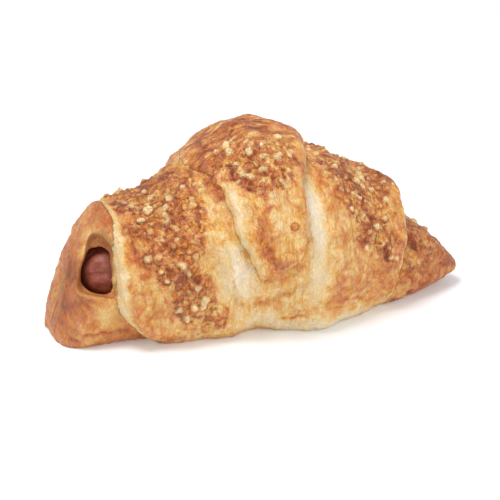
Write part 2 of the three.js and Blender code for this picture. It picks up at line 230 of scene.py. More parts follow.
def ramp(tree, value, *stops):
    """A colour that runs through STOPS, each a place from 0 to 1 and a colour code."""
    made = node(tree, "ShaderNodeValToRGB", {0: value})
    elements = made.color_ramp.elements
    while len(elements) < len(stops):
        elements.new(0.5)
    for element, (at, code) in zip(elements, stops):
        element.position = at
        element.color = colour(code)
    return made.outputs[0]


def new_material(name):
    """An empty node material: its tree and its shader."""
    material = bpy.data.materials.new(name)
    material.use_nodes = True
    tree = material.node_tree
    return material, tree, tree.nodes["Principled BSDF"]


def in_millimetres(tree):
    place = node(tree, "ShaderNodeTexCoord").outputs["Object"]
    return stretched(tree, place, MM, MM, MM)


def casing_material():
    material, tree, shader = new_material("frankfurter casing")
    place = in_millimetres(tree)
    smoked = mottle(tree, warped(tree, place, 3, 5), 4, detail=4, rough=0.6)
    speckle = mottle(tree, place, 0.7, seed=2)
    tone = ramp(tree, smoked, (0.3, DARK_CASING), (0.5, BROWNED_CASING), (0.72, PINK_CASING))
    tree.links.new(mixed(tree, scaled(tree, speckle, 0.3), tone, colour(BROWNED_CASING)), shader.inputs["Base Color"])
    shader.inputs["Roughness"].default_value = 0.42
    wrinkles = mottle(tree, stretched(tree, warped(tree, place, 1.5, 4), 4, 1.6, 1.6), 1)
    height = scaled(tree, speckle, 0.35, wrinkles)
    bump = node(tree, "ShaderNodeBump", {"Height": height, "Strength": 0.5, "Distance": 0.5 * MM})
    tree.links.new(bump.outputs[0], shader.inputs["Normal"])
    return material


sausage = solid("frankfurter", sausage_rings(0, 150, 160, WRINKLE_DEPTH))
sausage.data.materials.append(casing_material())
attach(sausage, "root")
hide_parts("sausage")

# ---- The rolled dough -----------------------------------------------------------------------------------------
# Laminated dough, stretched into a long triangle and rolled up from its wide end over a first turn that is pinched
# to a tail at the right. A place on it is its x and its winding angle: 0 degrees is the crown, 90 the front, 180
# the underside and 270 the back, and each full turn lies one sheet further out.
SHEET = 6.5  # thickness of one baked turn
ROOT = 0.5  # share of the radius down to which a turn reaches inside the turn below
LAP = 8  # degrees over which two stretches of the sheet run into each other
LAP_SINK = 1.5  # how far an end sinks over its lap
TIP_RUN = 12  # degrees over which the tongue's end rounds down
TIP_RIM = 4  # and by how much


def line_through(*places):
    """A smooth line through a few places, level beyond its ends: cubics whose slopes are averaged chords."""
    at, height = np.array(places, float).T
    last = len(at) - 1
    before, after = np.clip([np.arange(-1, last), np.arange(1, last + 2)], 0, last)
    slopes = (height[after] - height[before]) / (at[after] - at[before])

    def line(x):
        x = np.clip(x, at[0], at[last])
        i = np.clip(np.searchsorted(at, x, side="right") - 1, 0, last - 1)
        span = at[i + 1] - at[i]
        t = (x - at[i]) / span
        rise = (1 + 2 * t) * (1 - t) ** 2 * height[i] + t * t * (3 - 2 * t) * height[i + 1]
        return rise + t * (1 - t) * span * ((1 - t) * slopes[i] - t * slopes[i + 1])

    return line


# The section of the roll along its length: the heights of its crest and of its widest place, its half width, and
# how far its axis bends to the front. Then the free edges of the triangle by winding angle.
crest = line_through(
    (-60, 42), (-47, 45.2), (-38, 45.8), (-30, 49), (-23, 51.8), (-15, 56.2), (-6, 57.6), (1, 60.4), (10, 60),
    (22, 58.3), (32, 54.4), (38, 50.9), (45, 47.4), (56, 44.2), (62, 41.8),
)
half_width = line_through((-60, 24), (-40, 28), (-5, 33), (20, 38), (45, 29), (60, 24.5))
belly = line_through((-60, 21), (0, 28), (60, 18))
axis_bend = line_through((-80, -3), (-40, -1), (0, 0), (50, -2), (84, -15))
SOLE = 6  # how far the section would run on under the floor, where it is cut off
DOMED = 2.3  # power of the section's superellipse above its widest place, and below it:
squat = line_through((-50, 2.6), (-35, 3), (-25, 3.3), (-12, 3.2), (-2, 2.8), (12, 3.5), (30, 3.6), (45, 2.55))
left_edge = line_through(
    (-150, -44), (-90, -50), (0, -50), (35, -50.8), (60, -52.4), (85, -52.8), (100, -52.3), (112, -51.4),
    (121, -48.5), (129, -45), (137, -41.5), (180, -40), (270, -19), (330, -18), (350, -23), (370, -23), (385, -18),
    (393, -14.8), (402, -13), (415, -13.3), (427, -13.2), (433, -11.8), (439, -9.3), (446, -7.4), (455, -5.5),
)
right_edge = line_through(
    (-150, 48), (-90, 58), (0, 59.5), (45, 57), (90, 54), (135, 47), (180, 41),
    (270, 35), (355, 27.5), (370, 23.5), (385, 21), (405, 14), (440, 9.5), (449, 5), (455, -0.5),
)
EDGE_WAVES = [(0.25, 0.11), (0.2, 0.29)]  # the edges wander: amount, waves for each degree
left_rim = line_through((-150, 4), (95, 4), (125, 6), (180, 6), (300, 4), (400, 2.8))  # rounding of the free edges
right_rim = line_through((-150, 2.6), (150, 2.6), (200, 4), (360, 5), (405, 3))
MELT_WIDTH = 14  # on the crown's left the edge has baked into the turn below, on a slope this wide
MELT_DEPTH = 4.8
MELT_BEGINS = (290, 330)  # windings, as are those that follow
MELT_ENDS = (385, 412)
ROLL_FROM = -150
ROLL_TO = 455
UNDERSIDE = 170
CROWN = 360

# Folds beside the tongue, in x along a stretch of winding, and the crease that runs below them.
finger_line = line_through((45, -19), (58, -17), (72, -15.5), (85, -13.7), (95, -12.3), (103, -10.5))
FINGER = {"line": finger_line, "start": 60, "end": 105, "height": 4.2, "width": 5}
finger_side = line_through((66, -22), (80, -20), (93, -18), (101, -16), (108, -12))
FINGER_SIDE = {"line": finger_side, "start": 80, "end": 108, "height": -1.4, "width": 1.5}
groove_line = line_through((412, -10), (428, -6.7), (444, -2.8), (455, -1.6))
TONGUE_GROOVE = {"line": groove_line, "start": 412, "end": 455, "height": -2, "width": 1.4}
FOLD_BEGINS = 12  # degrees over which a fold rises and falls
FOLD_ENDS = 3
crease_line = line_through((-18, 90), (-15.5, 101), (-10.5, 109.5), (-3, 110), (6, 103), (12, 96))
CREASE_MIDDLE = -3
CREASE_REACH = 13
CREASE_DEPTH = 1.6
CREASE_WIDTH = 2.4
SWELL = 1.7  # the turn below swells up beside the tongue's root
SWELL_WIDTH = 6
SWELL_BEGINS = (-60, -20)
SWELL_ENDS = (28, 45)
LUMPS = [  # broad uneven swelling: height, waves along and round, phase
    (0.5, 0.21, 2, 0),
    (0.4, 0.37, -3, 1),
]
CHEESE = [  # where grated cheese lies: its middle and half width in x along a stretch of winding
    {"middle": line_through((-90, -37), (-30, -36), (0, -33.5), (23, -32), (54, -33.5), (74, -33), (85, -32),
                            (95, -30), (104, -27.5), (120, -23.5)),
     "half": line_through((-90, 6), (-60, 9), (-30, 11), (0, 13.5), (40, 13), (54, 12), (66, 11), (74, 8.5), (85, 6),
                          (95, 6.5), (104, 8), (112, 7), (120, 6)),
     "start": -98, "end": 124},
    {"middle": line_through((-90, 36), (5, 42), (17, 41), (29, 40), (44, 40), (61, 40), (75, 42), (84, 44)),
     "half": line_through((-90, 6), (-40, 9), (5, 12), (17, 15), (29, 15.5), (44, 11.5), (61, 9.5), (75, 7), (84, 4)),
     "start": -95, "end": 86},
    {"middle": line_through((270, 10), (340, 3), (371, 1), (385, 0), (397, 0), (405, 0), (412, 2)),
     "half": line_through((270, 9), (300, 14), (340, 12), (371, 14), (385, 13.5), (397, 11), (405, 7.5), (412, 3)),
     "start": 268, "end": 413},
]
CRUST = 0.8  # how proud the cheese stands of the dough
OUTSIDE = -20  # a depth well outside all cheese
DEGREE = 0.6  # length of one degree of winding, about


def edges(winding):
    """The x of the sheet's left and right edge, which wander a little."""
    wander = sum(amount * np.sin(waves * winding) for amount, waves in EDGE_WAVES)
    return left_edge(winding) + wander, right_edge(winding) + wander


def roll_radius(x, winding):
    angle = np.radians(winding)
    growth = SHEET * winding / 360
    up = np.cos(angle)
    wide = half_width(x) + growth
    tall = np.where(up > 0, crest(x) - belly(x) + growth, belly(x) + SOLE)
    power = np.where(up > 0, DOMED, squat(x))
    return (np.abs(up / tall) ** power + np.abs(np.sin(angle) / wide) ** power) ** (-1 / power)


def fold(x, winding, line, start, end, height, width):
    begun = smoothstep(winding, start - FOLD_BEGINS, start + FOLD_BEGINS)
    ended = smoothstep(winding, end - FOLD_ENDS, end + FOLD_ENDS)
    return height * bell(x - line(winding), width) * begun * (1 - ended)


def cheese_depth(x, winding):
    """How far inside the cheese a place lies, in millimetres, and below 0 outside."""
    depth = OUTSIDE
    for patch in CHEESE:
        sideways = patch["half"](winding) - np.abs(x - patch["middle"](winding))
        lengthways = np.minimum(winding - patch["start"], patch["end"] - winding) * DEGREE
        depth = np.maximum(depth, np.minimum(sideways, lengthways))
    return depth


def relief(x, winding):
    """How far the baked surface stands in or out of the plain roll."""
    out = sum(fold(x, winding, **each) for each in (FINGER, FINGER_SIDE, TONGUE_GROOVE))
    out = out + CRUST * smoothstep(cheese_depth(x, winding), -3, 3)
    swollen = smoothstep(winding, *SWELL_BEGINS) * (1 - smoothstep(winding, *SWELL_ENDS))
    out = out + SWELL * swollen * bell(x - left_edge(winding + 360), SWELL_WIDTH)
    out = out - CREASE_DEPTH * bell(winding - crease_line(x), CREASE_WIDTH) * bell(x - CREASE_MIDDLE, CREASE_REACH)
    for height, along, round_, phase in LUMPS:
        out = out + height * np.sin(along * x + round_ * np.radians(winding) + phase)
    return out


def on_roll(x, winding, radius):
    angle = np.radians(winding)
    return np.stack([x + 0 * radius, axis_bend(x) - np.sin(angle) * radius, belly(x) + np.cos(angle) * radius], axis=-1)


def rounded(inset, rim):
    """How far a quarter-round rim has fallen at a place INSET from its edge."""
    return rim - np.sqrt(np.maximum(0, rim**2 - np.maximum(0, rim - inset) ** 2))


def edge_fall(x, winding):
    """How far the sheet's surface has fallen towards its free edges."""
    left, right = edges(winding)
    widest = (right - left) / 2.2
    from_left = rounded(x - left, np.minimum(left_rim(winding), widest))
    slope = MELT_DEPTH * (1 - smoothstep(x - left, 0, MELT_WIDTH))
    melted = smoothstep(winding, *MELT_BEGINS) * (1 - smoothstep(winding, *MELT_ENDS))
    from_left = from_left + melted * (slope - from_left)
    return np.maximum(from_left, rounded(right - x, np.minimum(right_rim(winding), widest)))


def turn(name, start, end, across=130, step=1.6):
    """A stretch of the rolled sheet. Its hidden ends lie sunk in the turn below, and the tongue's rounds down."""
    winding = np.arange(start, end + step / 2, step)[:, None]
    left, right = edges(winding)
    share = (1 - np.cos(np.linspace(0, math.pi, across))) / 2
    x = left + (right - left) * share
    fall = edge_fall(x, winding)
    until_tip = (end - winding) / TIP_RUN if end == ROLL_TO else 1
    fall = fall + TIP_RIM * (1 - np.sin(np.clip(until_tip, 0, 1) * math.pi / 2))
    buried = (start + LAP - winding) / LAP
    if end != ROLL_TO:
        buried = np.maximum(buried, (winding - end + LAP) / LAP)
    outer = roll_radius(x, winding) + relief(x, winding) - fall - LAP_SINK * np.clip(buried, 0, 1)
    return solid(name, np.concatenate([on_roll(x, winding, outer), on_roll(x, winding, outer * ROOT)[:, ::-1]], axis=1))


# The first turn, a spindle with a slanting blunt end on the left and a tail on the right.
SPINDLE_FROM = -68.5
SPINDLE_TO = 83
spindle_crest = line_through((-76, 48), (-60, 47), (-45, 44), (0, 50), (50, 37), (60, 30), (72, 21.2), (85, 8))
spindle_foot = line_through((-76, -7), (-55, -5), (-45, -4), (0, -5), (50, -5), (62, -2.5), (76, 2), (85, 4.5))
spindle_width = line_through((-76, 17), (-55, 21), (0, 28), (50, 27), (62, 21), (72, 13), (85, 2.5))
spindle_squat = line_through((-76, 3), (-55, 2.6), (-45, 2.8), (-15, 3.6), (45, 3), (60, 2.6))
SPINDLE_END = 13  # how far from either end the section reaches its full size
SPINDLE_BLUNTNESS = 3.4
SLANT = 0.45  # how far its left end leans out for each millimetre of height above SLANT_HEIGHT
SLANT_HEIGHT = 14.5
SLANT_FROM = -40
SLANT_RUN = 30
TAIL_DENT = np.array([58, -26, 25])  # a hollow beside the edge of the next turn
TAIL_DENT_DEPTH = 3
TAIL_DENT_WIDTH = 4.5


def spindle():
    along = np.linspace(0.01, math.pi - 0.01, 150)[:, None]
    turned = full_turn(160)
    x = (SPINDLE_FROM + SPINDLE_TO) / 2 - np.cos(along) * (SPINDLE_TO - SPINDLE_FROM) / 2
    inward = np.clip(np.minimum(x - SPINDLE_FROM, SPINDLE_TO - x) / SPINDLE_END, 0, 1)
    fullness = (1 - (1 - inward) ** SPINDLE_BLUNTNESS) ** (1 / SPINDLE_BLUNTNESS)
    side, up = np.sin(turned), np.cos(turned)
    middle = (spindle_crest(x) + spindle_foot(x)) / 2
    half = (spindle_crest(x) - spindle_foot(x)) / 2
    power = 2 / np.where(up > 0, DOMED, spindle_squat(x))
    z = middle + fullness * half * np.sign(up) * np.abs(up) ** power
    y = axis_bend(x) + fullness * spindle_width(x) * np.sign(side) * np.abs(side) ** power
    leaning = x + SLANT * (z - SLANT_HEIGHT) * np.clip((SLANT_FROM - x) / SLANT_RUN, 0, 1)
    rings = np.stack([leaning, y, z], axis=-1)
    rings[..., 1] += TAIL_DENT_DEPTH * bell(np.linalg.norm(rings - TAIL_DENT, axis=-1), TAIL_DENT_WIDTH)
    return solid("first turn", rings)


# The drop-shaped window in the open end, and the hollow behind it round the end of the sausage.
WINDOW = np.array([-59.4, -17, 27.5])
WINDOW_OUT = Vector((-0.65, -0.63, 0.42)).normalized()
WINDOW_RADIUS = 7.9
WINDOW_WIDER = 5.5  # on its right, where the next turn's lip closes it
WINDOW_POINT = 5.8  # how much further its upper corner reaches
WINDOW_LEAN = 4.4  # how far that corner lies to the left
WINDOW_SILL = 0.34  # power that squares its lower half
WINDOW_DROP = 0.88  # how far down that half goes, in radii
WINDOW_FLARE = 0.5
SILL_FLARE = 0.12  # the same at its foot
WINDOW_LIP = 4  # depth over which it flares, in and out of its middle
WINDOW_REACH = (-6.5, 9)  # how far its cutter goes in and out
HOLLOW = np.array([-52.5, -5, 23.5])
HOLLOW_RADII = np.array([9.5, 12.5, 9.9])
window_up = (Vector((0, 0, 1)) - WINDOW_OUT * WINDOW_OUT.z).normalized()
window_right = window_up.cross(WINDOW_OUT)


def window_cutter():
    """A drop-shaped tunnel that flares as it comes out."""
    depth = np.linspace(*WINDOW_REACH, 24)[:, None]
    turned = full_turn(90)
    upward = np.maximum(0, np.cos(turned))
    most = np.where(np.cos(turned) < -0.3, SILL_FLARE, WINDOW_FLARE)
    flare = 1 + most * smoothstep(depth, -WINDOW_LIP, WINDOW_LIP)
    radius = (WINDOW_RADIUS + WINDOW_POINT * upward**8) * flare
    squared = np.where(np.cos(turned) < 0, WINDOW_SILL, 1)
    side, up = (np.sign(part) * np.abs(part) ** squared for part in (np.sin(turned), np.cos(turned)))
    across = side * (radius + WINDOW_WIDER * (side > 0)) - WINDOW_LEAN * upward**4
    height = up * radius * np.where(up < 0, WINDOW_DROP, 1)
    directions = [(depth + 0 * turned, WINDOW_OUT), (across, window_right), (height, window_up)]
    return solid("window cutter", WINDOW + sum(amount[..., None] * np.array(way) for amount, way in directions))


def hollow():
    tilt, turned = poles_apart(40), full_turn(60)
    ball = np.stack([np.sin(tilt) * np.cos(turned), np.sin(tilt) * np.sin(turned), np.cos(tilt) + 0 * turned], axis=-1)
    return solid("hollow", HOLLOW + ball * HOLLOW_RADII)


def under_floor():
    """A block whose top is the floor that the croissant is baked flat against."""
    side, deep = 200, 50
    square = np.array([[-side, -side], [side, -side], [side, side], [-side, side]], float)
    return solid("under the floor", np.stack([np.insert(square, 2, z, axis=1) for z in (-deep, 0)]))


def settle(piece):
    """Makes the result of the piece's modifiers its plain mesh."""
    made = bpy.data.meshes.new_from_object(piece.evaluated_get(bpy.context.evaluated_depsgraph_get()))
    piece.modifiers.clear()
    piece.data = made
    made.name = piece.name
    return piece


def combine(piece, operation, *others):
    for other in others:
        step = piece.modifiers.new(operation, "BOOLEAN")
        step.operation = operation
        step.solver = "MANIFOLD"
        step.object = other
    settle(piece)
    for other in others:
        bpy.data.objects.remove(other)


dough = spindle()
dough.name = "baked_dough"
combine(dough, "DIFFERENCE", hollow(), window_cutter())
combine(dough, "UNION", turn("outer turn", ROLL_FROM, UNDERSIDE + LAP), turn("back turn", UNDERSIDE, CROWN + LAP),
        turn("tongue", CROWN, ROLL_TO))
combine(dough, "DIFFERENCE", under_floor())

# Coarse gratings of hard cheese, strewn on the raw dough in patches. In the oven they soften into nuggets, half
# sunk in the melted crust.
NUGGET_TRIES = 16000
NUGGET_SPACING = 2.7
NUGGET_RADII = (0.7, 1.5)
SMALL_ONES = 1.7  # power that makes the small ones more frequent
NUGGET_INSET = 2.5  # from the free edges
STREWN_ALONG = (-60, 60)
STREWN_ROUND = (-98, 415)
BUNCH_SIZE = 5
BUNCH_STRAY = 6  # how far a bunch may lie outside its patch
BUNCHED = (0.25, 1.5)  # how often a try takes: on average, and more or less so with the bunching
SMOOTH_TOP = ((300, 325), (382, 370))  # the crown has few nuggets between these windings
TAIL_NUGGETS = [(68.3, -9.2, 24.1), (71.3, -11.6, 21.8), (66, -6, 25.6)]  # on the first turn: x, y, z
TAIL_NUGGET_RADIUS = 1.2
LARGE_NUGGETS = [  # the palest and largest ones in front: x, winding, radius
    (-29.7, 26, 1.9), (-24.1, 22, 1.5), (-37.5, 26, 1.6), (-34.2, 10, 1.5), (-42.8, 2, 1.6), (-40.1, 61, 1.2),
    (-37.8, 62, 1), (-43.2, 65, 1.5), (-31.8, 77, 1.7), (-27, 95, 1.9), (-28.6, 107, 1.5), (-34.1, 105, 1.6),
    (-31.1, 112, 1.5), (-27.5, 116, 1.2), (-26.4, 64, 1.2), (-6.2, 372, 2.3), (-7.2, 379, 2), (-10.8, 373, 1.6),
    (-1.5, 385, 1.9), (3, 384, 1.4), (6, 394, 2), (0, 398, 1.7), (-7, 388, 1.5), (-6.1, 397, 1.7), (32.3, 27, 1.4),
    (41.2, 18, 1.2), (42.8, 28, 1.5), (30.1, 46, 1.3), (52.2, 26, 1.4), (22.8, 71, 1.2), (47.4, 85, 1.1),
]


def baked_radius(x, winding):
    return roll_radius(x, winding) + relief(x, winding) - edge_fall(x, winding)


def strewn_nuggets():
    """Where the nuggets sit, and how large they are."""
    draw = np.random.default_rng(5)
    x, winding = (draw.uniform(*span, NUGGET_TRIES) for span in (STREWN_ALONG, STREWN_ROUND))
    sizes = NUGGET_RADII[0] + (NUGGET_RADII[1] - NUGGET_RADII[0]) * draw.uniform(0, 1, NUGGET_TRIES) ** SMALL_ONES
    spots = on_roll(x, winding, baked_radius(x, winding))
    bunched = np.array([noise.noise(Vector(spot) / BUNCH_SIZE) for spot in spots])
    left, right = edges(winding)
    above_left, above_right = edges(winding + 360)
    covered = (winding < ROLL_TO - 360) & (x > above_left - 1) & (x < above_right + 1)
    inset = np.minimum(x - left, right - x)
    smooth_top = math.prod(smoothstep(winding, *span) for span in SMOOTH_TOP)
    wanted = smoothstep(cheese_depth(x, winding) + BUNCH_STRAY * bunched, -0.5, 2) * (1 - smooth_top)
    wanted = wanted * (BUNCHED[0] + BUNCHED[1] * bunched) * (inset > NUGGET_INSET) * ~covered
    chosen = wanted > draw.uniform(0, 1, NUGGET_TRIES)
    large_x, large_winding, large_radii = np.array(LARGE_NUGGETS).T
    seats = [*np.array(TAIL_NUGGETS), *on_roll(large_x, large_winding, baked_radius(large_x, large_winding))]
    radii = [TAIL_NUGGET_RADIUS] * len(TAIL_NUGGETS) + list(large_radii)
    for spot, size in zip(spots[chosen], sizes[chosen]):
        if np.min(np.linalg.norm(np.array(seats) - spot, axis=1)) > NUGGET_SPACING:
            seats.append(spot)
            radii.append(size)
    return np.array(seats), np.array(radii)


def store(mesh, name, values):
    kind = "FLOAT" if values.ndim == 1 else "FLOAT_VECTOR"
    field = "value" if values.ndim == 1 else "vector"
    mesh.attributes.new(name, kind, "POINT").data.foreach_set(field, values.astype(np.float32).ravel())


def read(tree, name, vector=False):
    """The value of a stored attribute, in a shader or in geometry nodes."""
    if tree.type == "SHADER":
        return node(tree, "ShaderNodeAttribute", attribute_name=name).outputs["Vector" if vector else "Fac"]
    kind = "FLOAT_VECTOR" if vector else "FLOAT"
    return node(tree, "GeometryNodeInputNamedAttribute", {"Name": name}, data_type=kind).outputs[0]


def new_group(name, kind, takes, gives):
    """An empty node group with named inputs and outputs: its tree and its input sockets."""
    tree = bpy.data.node_groups.new(name, kind)
    for way, sockets in (("INPUT", takes), ("OUTPUT", gives)):
        for socket, value in sockets.items():
            tree.interface.new_socket(socket, in_out=way, socket_type="NodeSocket" + value)
    return tree, node(tree, "NodeGroupInput").outputs


def nugget_tree():
    """Turns points into uneven lumps of the size and turn that each point says."""
    takes = {"Geometry": "Geometry", "Facets": "Int", "Unevenness": "Float", "Lump size": "Float"}
    tree, given = new_group("cheese nuggets", "GeometryNodeTree", takes, {"Geometry": "Geometry"})
    ball = node(tree, "GeometryNodeMeshIcoSphere", {"Radius": MM, "Subdivisions": given["Facets"]}).outputs["Mesh"]
    turned = node(tree, "FunctionNodeEulerToRotation", {0: read(tree, "turned", vector=True)}).outputs[0]
    balls = node(tree, "GeometryNodeInstanceOnPoints", {
        "Points": given["Geometry"], "Instance": ball, "Rotation": turned,
        "Scale": read(tree, "half_sizes", vector=True)}).outputs[0]
    real = node(tree, "GeometryNodeRealizeInstances", {"Geometry": balls}).outputs[0]
    spot = node(tree, "GeometryNodeInputPosition").outputs[0]
    scale = calc(tree, "DIVIDE", 1, given["Lump size"])
    swirl = node(tree, "ShaderNodeTexNoise", {"Vector": spot, "Scale": scale, "Detail": 1.0}).outputs[1]
    push = node(tree, "ShaderNodeVectorMath", {0: swirl, 1: (0.5, 0.5, 0.5)}, operation="SUBTRACT").outputs[0]
    inputs = {0: push, "Scale": given["Unevenness"]}
    offset = node(tree, "ShaderNodeVectorMath", inputs, operation="SCALE").outputs[0]
    uneven = node(tree, "GeometryNodeSetPosition", {"Geometry": real, "Offset": offset}).outputs[0]
    node(tree, "NodeGroupOutput", {0: uneven})
    return tree


def dress(piece, tree, **sizes):
    """Makes the piece what a geometry tree, with its named inputs set, makes of it."""
    step = piece.modifiers.new(tree.name, "NODES")
    step.node_group = tree
    keys = {item.name: item.identifier for item in tree.interface.items_tree if item.in_out == "INPUT"}
    for name, size in sizes.items():
        step[keys[name.replace("_", " ")]] = size
    return settle(piece)


STRETCH = (0.6, 1.25)  # half sizes of a nugget in its three directions, in radii
nugget_seats, nugget_radii = strewn_nuggets()
draw = np.random.default_rng(6)
seat_mesh = bpy.data.meshes.new("nugget seats")
seat_mesh.from_pydata((nugget_seats + ROLL_PLACE) * MM, [], [])
store(seat_mesh, "turned", draw.uniform(0, 2 * math.pi, (len(nugget_seats), 3)))
store(seat_mesh, "half_sizes", nugget_radii[:, None] * draw.uniform(*STRETCH, (len(nugget_seats), 3)))
nuggets = put("cheese nuggets", seat_mesh)
dress(nuggets, nugget_tree(), Facets=3, Unevenness=2.6 * MM, Lump_size=1.4 * MM)
fused = bmesh.new()
for piece in (dough, nuggets):
    fused.from_mesh(piece.data)
fused.to_mesh(dough.data)
fused.free()
bpy.data.objects.remove(nuggets)


def read_vectors(mesh, what):
    values = np.empty(len(mesh.vertices) * 3, np.float32)
    mesh.vertices.foreach_get(what, values)
    return values.reshape(-1, 3).astype(float)


def smooth(piece, times, group=""):
    """Settles the piece, its whole surface or one vertex group smoothed so many times."""
    soften = piece.modifiers.new("soften", "SMOOTH")
    soften.iterations = times
    soften.vertex_group = group
    settle(piece)


GRAIN = 0.7  # size of the even facets that the whole surface gets
SMOOTHINGS = 2
remesh = dough.modifiers.new("even facets", "REMESH")
remesh.mode = "VOXEL"
remesh.voxel_size = GRAIN * MM
smooth(dough, SMOOTHINGS)

# The rim of the window slumps into a soft round in the oven.
RIM_SMOOTHINGS = 14
RIM_SPREAD = (19, 13)  # distances from the window's middle over which the softening sets in
RIM_KEPT = (5.5, 2.5)  # right of the window's middle, where the next turn's lip lies over it
spots = read_vectors(dough.data, "co") / MM - ROLL_PLACE - WINDOW
slumped = smoothstep(np.linalg.norm(spots, axis=1), *RIM_SPREAD)
slumped = slumped * smoothstep(spots @ np.array(window_right), *RIM_KEPT)
rim = dough.vertex_groups.new(name="rim")
for i in np.flatnonzero(slumped > 0.01):
    rim.add([int(i)], slumped[i], "REPLACE")
smooth(dough, RIM_SMOOTHINGS, "rim")
dough.vertex_groups.clear()

# What each place of the baked surface is: which turn it belongs to, how far it is from the free edge, and from
# there how browned, how pale, how creased and how covered in cheese.
place = read_vectors(dough.data, "co") / MM - ROLL_PLACE
facing = read_vectors(dough.data, "normal")
x = place[:, 0]
across, above = place[:, 1] - axis_bend(x), place[:, 2] - belly(x)
angle = np.degrees(np.arctan2(-across, above))
radius = np.hypot(across, above)
EDGE_SLACK = 0.7
TIP_SLACK = 2
TURN_ABOVE = 1.3  # a place this far over one turn's surface belongs to the next
LIP_DEPTH = 7.6  # and one this far under it to the turn below
FAR = 99  # stands for the distance to an edge that a turn hasn't got


def within(winding):
    left, right = edges(winding)
    return (x > left - EDGE_SLACK) & (x < right + EDGE_SLACK)


lower_surface = roll_radius(x, angle) + relief(x, angle)
on_upper = within(angle + 360) & (angle + 360 < ROLL_TO + TIP_SLACK) & (radius > lower_surface + TURN_ABOVE)
on_lower = ~on_upper & within(angle) & (angle > ROLL_FROM) & (radius > lower_surface - LIP_DEPTH)
on_first = ~on_upper & ~on_lower
winding = np.where(on_upper, angle + 360, angle)
left, right = edges(winding)
from_left = np.where(on_first, FAR, x - left)
from_right = np.where(on_first, FAR, right - x)
LAYER_APART = 200  # keeps the patterns of the turns apart
PATTERN_RADIUS = 30  # at which a pattern on the sheet has its true size round the roll
PATTERN_DEPTH = 0.2  # how far it changes with depth
layer = on_upper * 1 + on_first * 2
sheet_place = np.stack([
    x, np.radians(winding) * PATTERN_RADIUS, layer * LAYER_APART + radius * PATTERN_DEPTH], axis=-1)

LEFT_LIP = (3, 1.2)  # distances from the edges over which the unbrowned lip of each turn sets in
RIGHT_LIP = (1.6, 0.48)
LIP_BEGINS = (385, 400)  # on the tongue
lip = smoothstep(from_left, *LEFT_LIP) * np.where(on_upper, smoothstep(winding, *LIP_BEGINS), 1)
right_lip = smoothstep(from_right, *RIGHT_LIP) * np.where(on_upper, 0, 0.5)
lip = np.maximum(lip, right_lip) * np.where(on_upper, 0.6, 1)

# The wall inside the window is crumb, with painted shade that darkens it as it goes in. On the right the pale end
# of the next turn's lip closes the window.
WINDOW_AROUND = (19, 16)  # distances from the window's axis
WINDOW_UNTIL = -38  # in x
WALL_FACING = (0, 0.6)  # how squarely the wall looks at the axis
# Window depths over which painted shade darkens the crumb wall.
WALL_SHADE_DEPTHS = (0.5, -4)
LIP_END_FROM = (2.5, 4.5)  # distances to the right of the window's middle
LIP_END_FACING = (0.1, 0.5)  # how squarely the lip's end looks to the left
outward, to_right = np.array(WINDOW_OUT), np.array(window_right)
window_depth = (place - WINDOW) @ outward
from_axis = WINDOW + window_depth[:, None] * outward - place
axis_distance = np.linalg.norm(from_axis, axis=1)
inward = np.einsum("ij,ij->i", facing, from_axis) / np.maximum(axis_distance, 0.1)
in_window = on_first * smoothstep(axis_distance, *WINDOW_AROUND) * smoothstep(inward, *WALL_FACING)
in_window = in_window * (x < WINDOW_UNTIL)
lip_end = in_window * smoothstep((place - WINDOW) @ to_right, *LIP_END_FROM)
lip_end = lip_end * smoothstep(-facing @ to_right, *LIP_END_FACING)
in_window = in_window * (1 - lip_end)
lip = np.maximum(lip, lip_end)

BAKED = [  # places browned more or less than the rest: x, winding, half length, half width, change
    (-45, 70, 3, 50, 0.06),  # beside the left lip
    (-44, 20, 5, 25, 0.12),
    (-40, 95, 6, 14, 0.02),
    (-19, 45, 4, 30, -0.14),  # the golden fold left of the finger
    (-17, 88, 6, 24, -0.16),
    (-13, 78, 4.5, 20, -0.16),  # the pale finger beside the tongue
    (-10, 92, 5, 10, -0.2),
    (-14, 30, 5, 14, 0.02),
    (16.5, 60, 4, 34, -0.44),  # the pale band right of the tongue
    (14, 98, 5, 14, -0.16),
    (-6, 118, 16, 8, -0.08),  # the side near the floor
    (14, 128, 30, 8, -0.27),
    (31, 122, 16, 5, -0.22),
    (30, 100, 12, 9, 0.05),
    (47, 90, 5, 30, 0.08),
    (27, 55, 5, 20, -0.04),
    (-34, 122, 14, 8, 0.03),
    (-31, 100, 8, 16, -0.09),
    (41, 56, 9, 14, -0.07),
    (-10, 415, 3, 22, -0.2),  # the pale ridge along the tongue
    (3, 424, 8, 18, -0.1),
    (2, 446, 5, 5, 0.06),
    (0, 104, 14, 8, -0.16),  # under the tongue's end
    (3, 350, 14, 22, 0.17),  # the crown
    (-12, 352, 4, 12, 0.16),
    (-16, 374, 6, 12, 0.24),
    (-15, 388, 4, 14, -0.04),
]
BAKED_SPOTS = [  # the same on the first turn: x, y, z, radius, change
    (-67, -8, 26, 6, 0.22),  # the hood round the window
    (-58, -6, 43, 6, 0),
    (-58.5, -5.5, 37.5, 4.5, -0.14),
    (-61.5, -7, 31, 4.5, -0.14),
    (-68, -10, 14, 6, 0.12),
    (-63, -18, 17, 4, 0.12),
    (-56, -23, 14, 6, -0.2),
    (-62, -20, 4, 5, -0.08),
    (64, -20, 18, 10, 0.12),
    (78, -16, 9, 8, 0.14),
    (62, -24, 14, 8, -0.08),
    (58, -27, 8, 7, -0.1),
]
